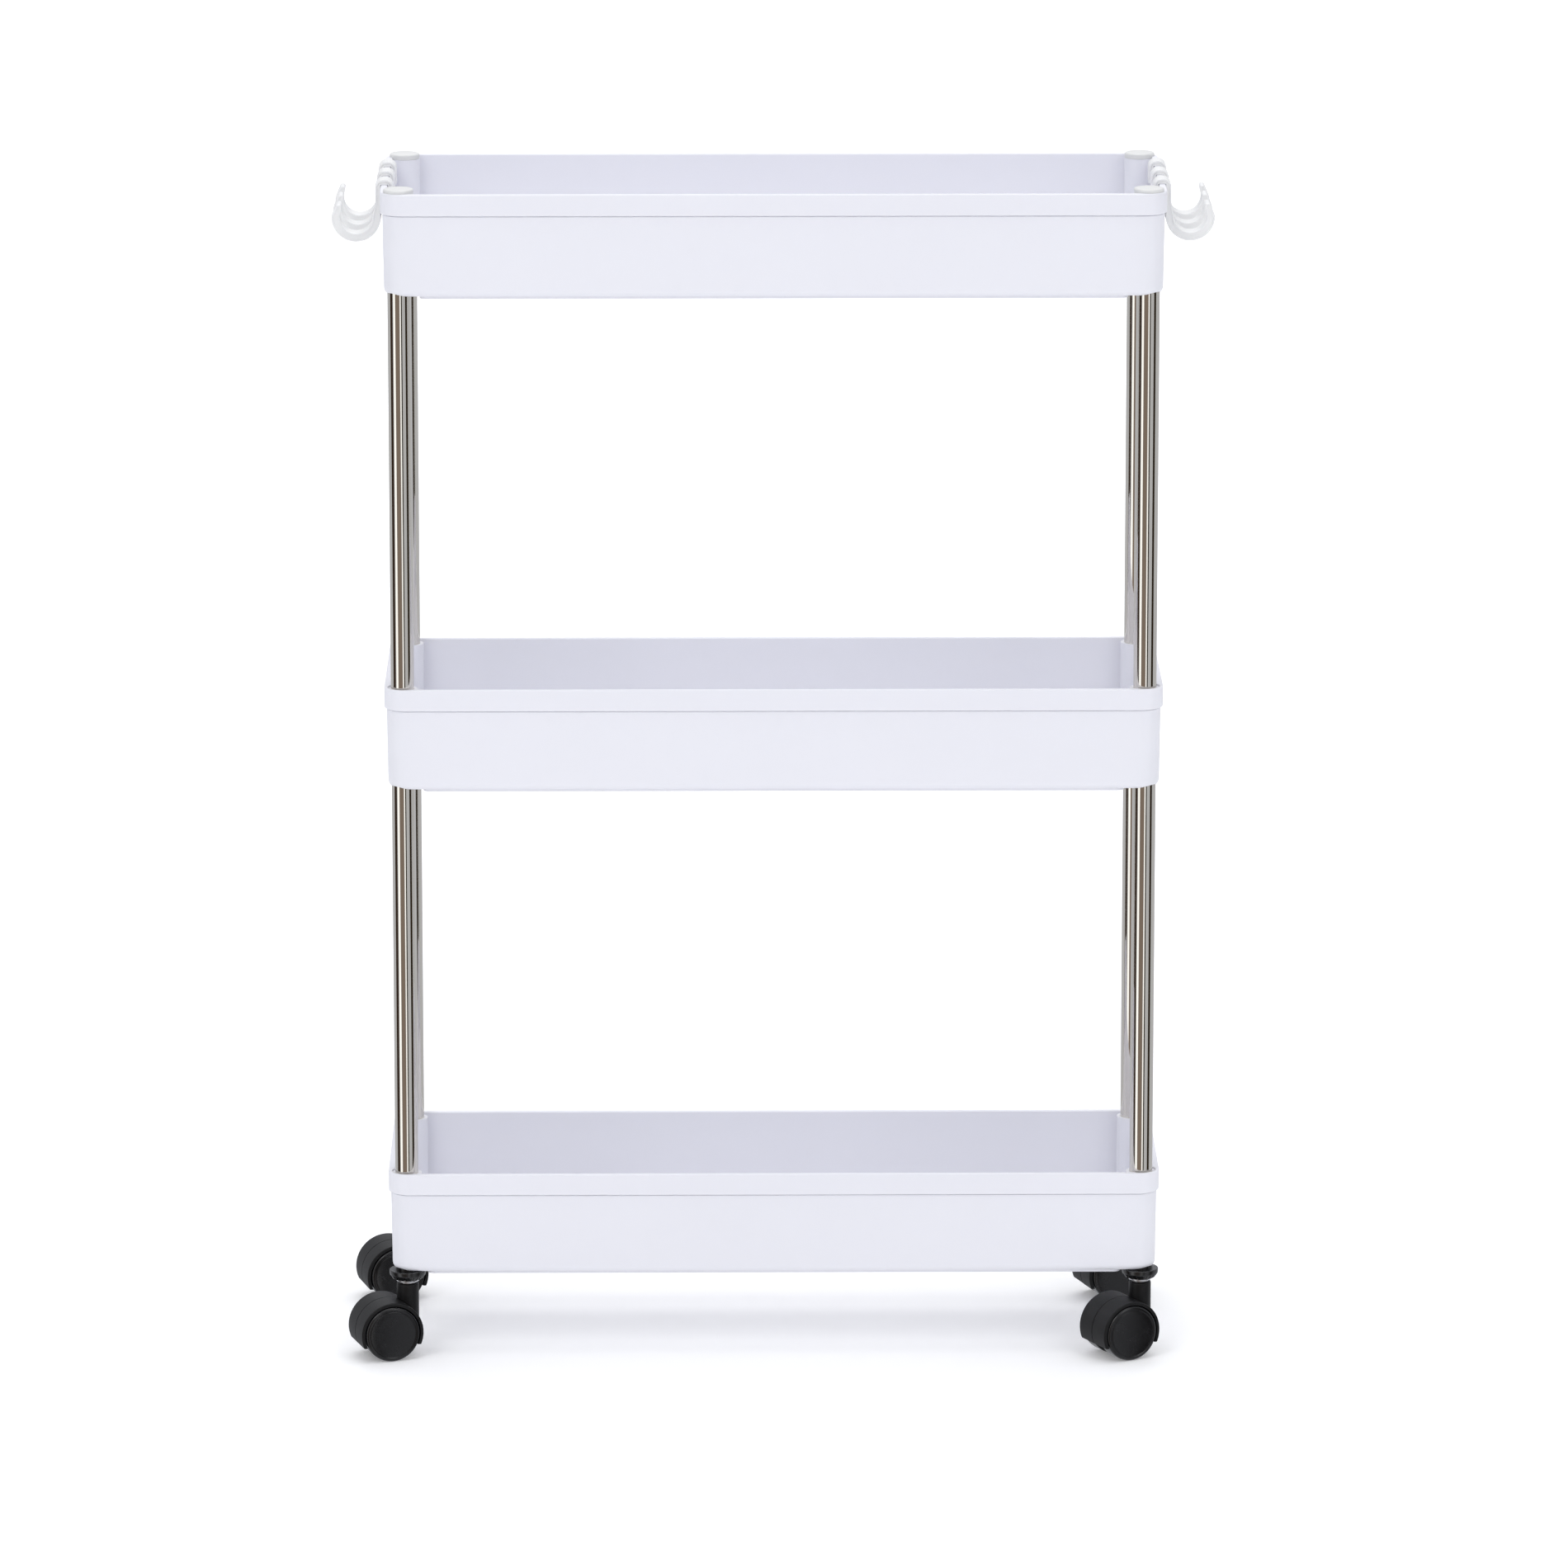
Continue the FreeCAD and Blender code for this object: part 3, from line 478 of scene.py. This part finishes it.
def cap(corner):
    """A round corner cap with a soft shoulder and a hollow plug."""
    node = f"cap_{corner}"
    low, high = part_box(node)
    centre = (low + high) / 2
    radius = (high.x - low.x) / 2
    thick = 3 * MM
    plug = 5.98 * MM
    skin = 1.5 * MM
    seat = high.z - thick
    crown = 0.25 * MM
    shoulder = arc((radius - 0.9 * MM, high.z - crown - 0.9 * MM), 0.9 * MM, 0, 75, 6)
    bm = bmesh.new()
    turned(bm, [
        (0, seat), (plug - skin, seat), (plug - skin, low.z), (plug - 0.4 * MM, low.z), (plug, low.z + 0.8 * MM),
        (plug, seat), (radius - 0.2 * MM, seat), (radius, seat + 0.2 * MM), *shoulder,
        (radius * 0.5, high.z - crown * 0.25), (0, high.z),
    ])
    bmesh.ops.translate(bm, vec=(centre.x, centre.y, 0), verts=bm.verts)
    finished(bm, f"{node}_moulding", "cap_plastic", "frame", [node])


# ---------------------------------------------------------------- hooks

def hook(node, side):
    """A hook over the end rim: arch, strip, bowl and arm, with a raised border round each face."""
    low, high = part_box(node)
    rim_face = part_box("tray_top")[1].x
    rim_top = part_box("tray_top")[1].z
    slot = -RIM_WALL - HOOK_GAP
    back = slot - HOOK_LEAF
    strip = HOOK_GAP + HOOK_STRIP
    crown_round = HOOK_CROWN
    centre = (HOOK_GAP + HOOK_BOWL, -HOOK_DROP)
    inner_bowl = HOOK_BOWL - HOOK_THICK
    tip_out = centre[0] + HOOK_BOWL - HOOK_LEAN
    tip_up = HOOK_RISE - HOOK_DROP - HOOK_TIP / 2
    shape = [
        (back, -HOOK_LEG), (slot, -HOOK_LEG),
        *arc((slot + HOOK_SLOT_ROUND, -HOOK_SLOT_ROUND), HOOK_SLOT_ROUND, 180, 90, 4),
        *arc((HOOK_GAP - HOOK_SLOT_ROUND, -HOOK_SLOT_ROUND), HOOK_SLOT_ROUND, 90, 0, 4),
        *arc(centre, HOOK_BOWL, 180, 360, 3 * ARC_STEPS),
        *arc((tip_out - HOOK_TIP / 2, tip_up), HOOK_TIP / 2, 8, 188, ARC_STEPS),
        *arc(centre, inner_bowl, 360, 180, 3 * ARC_STEPS),
        (strip, -9 * MM),
        *arc((strip - crown_round, HOOK_LEAF - crown_round), crown_round, 0, 90, 6),
        *arc((back + crown_round, HOOK_LEAF - crown_round), crown_round, 90, 180, 6),
    ]
    bm = bmesh.new()
    face = bm.faces.new([bm.verts.new((side * (rim_face + x), low.y, rim_top + z)) for x, z in shape])
    made = bmesh.ops.extrude_face_region(bm, geom=[face])["geom"]
    moved = [item for item in made if isinstance(item, bmesh.types.BMVert)]
    bmesh.ops.translate(bm, vec=(0, high.y - low.y, 0), verts=moved)
    bmesh.ops.recalc_face_normals(bm, faces=bm.faces)
    faces = [item for item in bm.faces if abs(item.normal.y) > 0.9]
    rims = [edge for item in faces for edge in item.edges]
    for item in faces:
        draw_in(bm, item, [(HOOK_BORDER, 0), (0.1 * MM, -HOOK_RECESS)])
    bmesh.ops.bevel(
        bm, geom=rims, offset=0.3 * MM, affect="EDGES", segments=2, profile=0.5, material=-1, clamp_overlap=True
    )
    finished(bm, f"{node}_moulding", "hook_plastic", f"{node}_body", [node])


# ---------------------------------------------------------------- casters

def caster_axes(corner):
    """Swivel centre, axle centre and turn of a caster, from the frame's joints."""
    joints = {joint["name"]: joint for joint in frame["joints"]}
    swivel = Vector(joints[f"swivel_{corner}_turn"]["pos_m"])
    spin = joints[f"wheel_outer_{corner}_spin"]
    axis = Vector(spin["axis"])
    return swivel, Vector(spin["pos_m"]), math.atan2(axis.x, -axis.y)


def socket(corner):
    """A nylon bush: sleeve in the pillar and a bowl-shaped flange below, with moulded ribs."""
    node = f"socket_{corner}"
    low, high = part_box(node)
    centre = (low + high) / 2
    radius = (high.x - low.x) / 2
    tray_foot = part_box("tray_bottom")[0].z + RIB_DROP
    sleeve, bore = SLEEVE_RADIUS, SLEEVE_BORE
    mouth = STEM_RADIUS + RUNNING_FIT
    rim = radius - 0.3 * MM
    edge = 0.3 * MM
    drop = tray_foot - FLANGE_LIP - low.z
    taper = rim - FLANGE_NARROW
    bowl = [math.radians(turn) for turn in BOWL_TURNS]
    bm = bmesh.new()
    turned(bm, [
        (mouth, low.z),
        *[(FLANGE_NARROW + taper * math.sin(turn), low.z + drop * (1 - math.cos(turn))) for turn in bowl],
        *arc((rim - edge, tray_foot - edge), edge, 0, 90, 3),
        (sleeve, tray_foot), (sleeve, high.z), (bore, high.z), (bore, tray_foot), (mouth, tray_foot),
    ], closed=True, segments=ROUND_STEPS // 2)
    bm.normal_update()
    side = [
        face for face in bm.faces
        if 0.3 * drop < face.calc_center_median().z - low.z < 0.5 * drop
        and face.calc_center_median().xy.length > sleeve
    ]
    side.sort(key=lambda face: math.atan2(face.calc_center_median().y, face.calc_center_median().x))
    bmesh.ops.inset_individual(bm, faces=side[::2], thickness=0.12 * MM, depth=0.25 * MM, use_even_offset=True)
    bmesh.ops.translate(bm, vec=(centre.x, centre.y, 0), verts=bm.verts)
    finished(bm, f"{node}_bush", "socket_nylon", "frame", [node])


def stem(corner):
    """The steel pin with its plated collar of two rolled beads."""
    node = f"stem_{corner}"
    low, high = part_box(node)
    centre = (low + high) / 2
    collar_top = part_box(f"socket_{corner}")[0].z
    wide, wide_height = COLLAR_STEPS[0]
    narrow, narrow_height = COLLAR_STEPS[1]
    edge = 0.3 * MM
    shelf = collar_top - wide_height
    foot = shelf - narrow_height
    bm = bmesh.new()
    turned(bm, [
        (0, low.z), (STEM_RADIUS - edge, low.z), (STEM_RADIUS, low.z + edge), (STEM_RADIUS, foot),
        *arc((narrow - narrow_height / 2, foot + narrow_height / 2), narrow_height / 2, -90, 90, 8),
        *arc((wide - wide_height / 2, shelf + wide_height / 2), wide_height / 2, -90, 90, 8),
        (STEM_RADIUS, collar_top), (STEM_RADIUS, high.z - 0.7 * MM), (STEM_RADIUS - 0.7 * MM, high.z), (0, high.z),
    ])
    bmesh.ops.translate(bm, vec=(centre.x, centre.y, 0), verts=bm.verts)
    finished(bm, f"{node}_pin", "plated_steel", "frame", [node])


def hood(corner):
    """The round hood over both wheels, its middle web and its neck."""
    node = f"hood_{corner}"
    swivel, axle, turn = caster_axes(corner)
    wheel_radius = axle.z
    room = wheel_radius + WHEEL_GAP
    outer = room + HOOD_SKIN
    half = WEB_HALF + WHEEL_GAP + WHEEL_WIDTH - HOOD_LIP
    neck_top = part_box(node)[1].z
    soft = 0.7 * MM
    seam, depth = 0.3 * MM, 0.35 * MM

    bm = bmesh.new()
    turned(bm, [
        (0, -half), (outer - soft, -half), *arc((outer - soft, -half + soft), soft, -60, 0, 3),
        (outer, -seam), (outer - depth, -seam / 2), (outer - depth, seam / 2), (outer, seam),
        *arc((outer - soft, half - soft), soft, 0, 60, 3), (outer - soft, half), (0, half),
    ], segments=2 * ROUND_STEPS)
    drum = solid(lay_on_axle(bm, wheel_radius))

    bm = bmesh.new()
    turned(bm, [
        (0, wheel_radius - HOOD_OPEN), (NECK_RADIUS, wheel_radius - HOOD_OPEN),
        *arc((NECK_RADIUS - soft, neck_top - soft), soft, 0, 90, 4), (0, neck_top),
    ])
    neck = solid(bm)

    rooms = bmesh.new()
    for side in (-1, 1):
        near, far = sorted((side * WEB_HALF, side * (half + 2 * MM)))
        rod(rooms, room, near, far, segments=2 * ROUND_STEPS)
    rooms = solid(lay_on_axle(rooms, wheel_radius))

    bm = bmesh.new()
    block = Matrix.Translation((-TRAIL, 0, wheel_radius - HOOD_OPEN - outer))
    wider = Matrix.Scale(1.2, 4, (0, 1, 0)) @ Matrix.Scale(1.2, 4, (1, 0, 0))
    bmesh.ops.create_cube(bm, size=2 * outer, matrix=block @ wider)
    mouth = solid(bm)

    bm = bmesh.new()
    rod(bm, STEM_RADIUS + RUNNING_FIT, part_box(f"stem_{corner}")[0].z - 0.2 * MM, neck_top + MM)
    bore = solid(bm)
    bm = bmesh.new()
    rod(bm, AXLE_RADIUS + PRESS_FIT, -2 * WEB_HALF, 2 * WEB_HALF)
    axle_hole = solid(lay_on_axle(bm, wheel_radius))

    combine(
        drum, ("UNION", neck), ("DIFFERENCE", rooms), ("DIFFERENCE", mouth), ("DIFFERENCE", bore),
        ("DIFFERENCE", axle_hole),
    )
    drum.data.transform(Matrix.Translation((swivel.x, swivel.y, 0)) @ Matrix.Rotation(turn, 4, "Z"))
    adopt(drum, f"{node}_moulding", "hood_nylon", f"swivel_{corner}", [node], smooth=40)


def lay_on_axle(bm, wheel_radius):
    """Lay what was turned about Z along the axle, behind the swivel axis."""
    place = Matrix.Translation((-TRAIL, 0, wheel_radius)) @ Matrix.Rotation(math.radians(90), 4, "X")
    bmesh.ops.transform(bm, matrix=place, verts=bm.verts)
    return bm


def wheel(corner, side, outward):
    """A cupped wheel with a soft tread edge, a shallow ring and a slightly domed disc."""
    node = f"wheel_{side}_{corner}"
    _, axle, turn = caster_axes(corner)
    radius = axle.z
    wide = WHEEL_WIDTH
    edge = 1.7 * MM
    hub = 4.2 * MM
    disc = 7.2 * MM
    cup = radius - 2.4 * MM
    hole = AXLE_RADIUS + RUNNING_FIT
    blind = 7.4 * MM
    ring = radius * 0.84
    bm = bmesh.new()
    turned(bm, [
        (0, blind), (hole, blind), (hole, 0), (hub, 0), (hub, disc), (cup, disc), (cup, 0.3 * MM),
        (cup + 0.3 * MM, 0), (radius - 0.4 * MM, 0), (radius, 0.4 * MM),
        *arc((radius - edge, wide - edge), edge, 0, 80, 7),
        (ring + 0.35 * MM, wide + 0.12 * MM), (ring, wide - 0.1 * MM), (ring - 0.35 * MM, wide + 0.2 * MM),
        (radius * 0.6, wide + 0.45 * MM), (radius * 0.3, wide + 0.62 * MM), (0, wide + 0.68 * MM),
    ], segments=2 * ROUND_STEPS)
    bmesh.ops.translate(bm, vec=(0, 0, WEB_HALF + WHEEL_GAP), verts=bm.verts)
    tip = Matrix.Rotation(math.radians(-90 * outward), 4, "X")
    place = Matrix.Translation((axle.x, axle.y, axle.z)) @ Matrix.Rotation(turn, 4, "Z") @ tip
    bmesh.ops.transform(bm, matrix=place, verts=bm.verts)
    finished(bm, f"{node}_moulding", "wheel_nylon", f"{node}_body", [node], smooth=40)


# ---------------------------------------------------------------- build

for level in LEVELS:
    tray(level)
for corner in CORNERS:
    outward = -1 if corner.startswith("front") else 1
    for tier in ("lower", "upper"):
        post(f"post_{tier}_{corner}")
    cap(corner)
    socket(corner)
    stem(corner)
    hood(corner)
    wheel(corner, "outer", outward)
    wheel(corner, "inner", -outward)
    for kind, slot in (("grip_ring", "spring_steel"), ("axle", "axle_steel")):
        frame["nodes"][f"{kind}_{corner}"].data.materials.clear()
        frame["nodes"][f"{kind}_{corner}"].data.materials.append(MATERIALS[slot])
for end, side in (("left", -1), ("right", 1)):
    for order in ("front", "middle", "rear"):
        hook(f"hook_{end}_{order}", side)


# ---------------------------------------------------------------- floor, light and camera

def stage_surface(name, colour, rough, glow):
    """A plain matt studio surface."""
    material, _, shader, _ = new_material(name, Roughness=rough)
    shader.inputs["Base Color"].default_value = linear(colour)
    shader.inputs["Emission Color"].default_value = linear(colour)
    shader.inputs["Emission Strength"].default_value = glow
    return material


def sweep():
    """A pale floor that curves up into a wall behind."""
    bm = bmesh.new()
    reach, near, far, tall, bend = 8.0, -8.0, 6.6, 4.0, 1.2
    section = [(near, 0), (far, 0), *arc((far, bend), bend, -90, 0, 24)[1:], (far + bend, tall)]
    verts = [bm.verts.new((-reach, y, z)) for y, z in section]
    edges = [bm.edges.new(pair) for pair in zip(verts, verts[1:])]
    made = bmesh.ops.extrude_edge_only(bm, edges=edges)["geom"]
    moved = [item for item in made if isinstance(item, bmesh.types.BMVert)]
    bmesh.ops.translate(bm, vec=(2 * reach, 0, 0), verts=moved)
    mesh = bpy.data.meshes.new("studio_sweep")
    bm.to_mesh(mesh)
    bm.free()
    mesh.shade_smooth()
    surface = bpy.data.objects.new("studio_sweep", mesh)
    surface.data.materials.append(stage_surface("studio paper", "#f6f6f6", 0.9, 0.2))
    surface.visible_glossy = False
    bpy.context.scene.collection.objects.link(surface)


def card(azimuth, spread, colour, strength=1.0):
    """A tall glowing panel far out at an angle from the front, seen only mirrored in the metal."""
    width = 2 * CARD_REACH * math.tan(math.radians(spread / 2))
    bm = bmesh.new()
    bmesh.ops.create_grid(bm, x_segments=1, y_segments=1, size=0.5)
    bmesh.ops.scale(bm, vec=(width, CARD_HEIGHT, 1), verts=bm.verts)
    stand = Matrix.Rotation(math.radians(azimuth), 4, "Z") @ Matrix.Translation((0, -CARD_REACH, 0))
    bmesh.ops.transform(bm, matrix=stand @ Matrix.Rotation(math.radians(90), 4, "X"), verts=bm.verts)
    name = f"card_{azimuth:g}"
    mesh = bpy.data.meshes.new(name)
    bm.to_mesh(mesh)
    bm.free()
    material = bpy.data.materials.new(f"{name} cloth")
    material.use_nodes = True
    tree = material.node_tree
    tree.nodes.clear()
    glow = add(tree, "ShaderNodeEmission", {"Color": linear(colour), "Strength": strength})
    add(tree, "ShaderNodeOutputMaterial", {"Surface": glow.outputs["Emission"]})
    panel = bpy.data.objects.new(name, mesh)
    panel.data.materials.append(material)
    panel.visible_camera = panel.visible_diffuse = panel.visible_shadow = False
    bpy.context.scene.collection.objects.link(panel)


def softbox(name, place, target, size, power):
    """A rectangular area light aimed at a point."""
    light = bpy.data.lights.new(name, "AREA")
    light.shape = "RECTANGLE"
    light.size, light.size_y = size
    light.energy = power
    lamp = bpy.data.objects.new(name, light)
    lamp.location = place
    lamp.rotation_euler = (Vector(target) - Vector(place)).to_track_quat("-Z", "Y").to_euler()
    bpy.context.scene.collection.objects.link(lamp)


def camera():
    """A long lens looking down at the cart from the front."""
    data = bpy.data.cameras.new("camera")
    data.sensor_width = 36
    data.lens = LENS
    data.clip_end = 50
    eye = bpy.data.objects.new("camera", data)
    eye.location = CAMERA_PLACE
    eye.rotation_euler = (math.pi / 2 - CAMERA_PITCH, 0, CAMERA_YAW)
    bpy.context.scene.collection.objects.link(eye)
    bpy.context.scene.camera = eye


def world():
    """Even, very pale surroundings."""
    surroundings = bpy.data.worlds.new("studio")
    surroundings.use_nodes = True
    tree = surroundings.node_tree
    tree.nodes.clear()
    shade = add(tree, "ShaderNodeBackground", {"Color": linear("#f2f4fa"), "Strength": 0.66})
    add(tree, "ShaderNodeOutputWorld", {"Surface": shade.outputs["Background"]})
    bpy.context.scene.world = surroundings


sweep()
for panel in CARDS:
    card(*panel)
softbox("front_left", (-2.4, -3.7, 4.2), (0, 0, 0.3), (2.2, 2.2), 50)
softbox("front_right", (2.8, -3.5, 3.8), (0, 0, 0.3), (2.2, 2.2), 33)
softbox("overhead", (0, 0.2, 5.0), (0, 0, 0), (3.5, 3.5), 62)
softbox("backdrop", (0, 3.2, 3.5), (0, 4.2, 0), (3.0, 2.0), 75)
world()
camera()
bpy.context.scene.view_settings.view_transform = "Standard"
